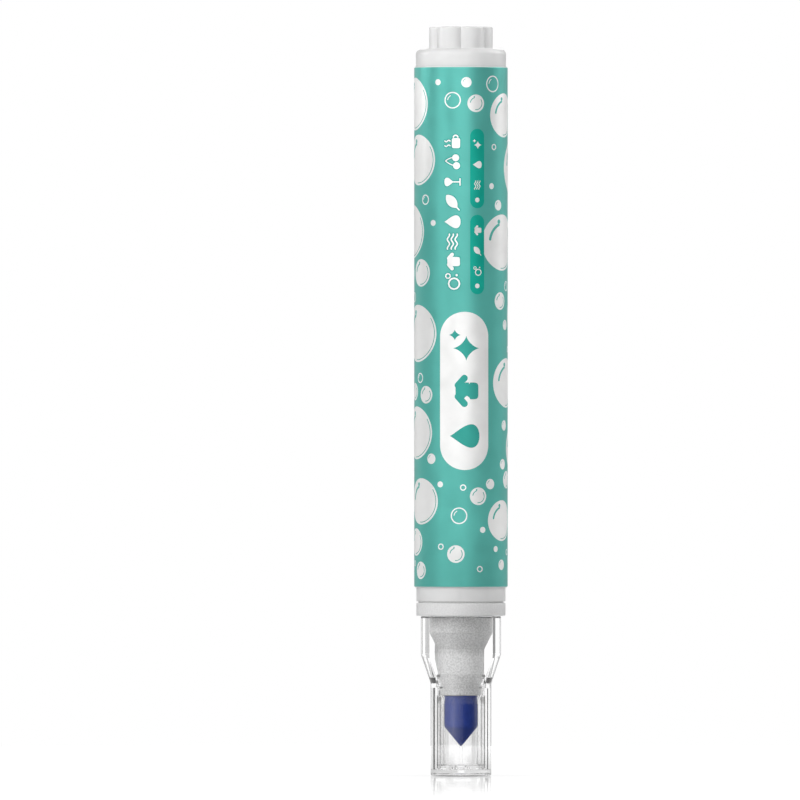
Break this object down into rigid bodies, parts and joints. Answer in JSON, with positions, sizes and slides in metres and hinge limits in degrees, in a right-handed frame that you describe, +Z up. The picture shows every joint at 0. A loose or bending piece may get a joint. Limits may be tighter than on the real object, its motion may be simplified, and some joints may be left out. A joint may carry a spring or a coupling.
{
  "type": "stain remover pen",
  "caption": "Valve pen that applies stain remover to cloth: a labelled barrel, a pressable fibre nib and a clear push-on cap on which it stands.",
  "frame": {"origin": "centre of the cap's standing ring, on the surface that the capped pen stands on", "axes": "+Z up along the pen's axis, from the cap and nib towards the rear plug; the label's front faces -Y"},
  "size_m": [0.017, 0.017, 0.1362],
  "materials": {
    "white_plastic": "moulded polypropylene, satin",
    "label_film": "printed film, glossy",
    "nose_plastic": "moulded polypropylene, fine spark-eroded grain",
    "seal_rubber": "moulded, smooth",
    "valve_plastic": "moulded acetal, satin",
    "spring_steel": "drawn stainless wire",
    "nib_fibre": "bonded polyester fibre, ground to a point",
    "liquid": "clear thin liquid",
    "clear_plastic": "clear polystyrene, polished",
    "clear_seal": "clear polypropylene, polished"
  },
  "bodies": {
    "cap": {"cap_shell": "clear_plastic", "cap_inner_seal": "clear_seal"},
    "pen": {"barrel": "white_plastic", "label_sleeve": "label_film", "rear_plug": "white_plastic", "rear_seal_ring": "seal_rubber", "front_section": "nose_plastic", "front_seal_ring": "seal_rubber", "valve_seat": "valve_plastic", "valve_gasket": "seal_rubber", "valve_spring": "spring_steel", "valve_cage": "valve_plastic", "cleaning_liquid": "liquid"},
    "nib": {"nib": "nib_fibre"},
    "valve": {"valve_stem": "valve_plastic"}
  },
  "joints": [
    {"name": "cap_pull", "type": "slide", "parent": "cap", "child": "pen", "axis": [0, 0, 1], "range_m": [0, 0.03]},
    {"name": "nib_press", "type": "slide", "parent": "pen", "child": "nib", "axis": [0, 0, 1], "range_m": [0, 0.0015], "stiffness_N_per_m": 300, "springref_m": -0.003},
    {"name": "valve_lift", "type": "slide", "parent": "pen", "child": "valve", "axis": [0, 0, 1], "range_m": [0, 0.0015], "deforming": ["valve_spring"]}
  ],
  "couplings": [
    {"joint": "valve_lift", "follows": "nib_press", "ratio": 1}
  ]
}
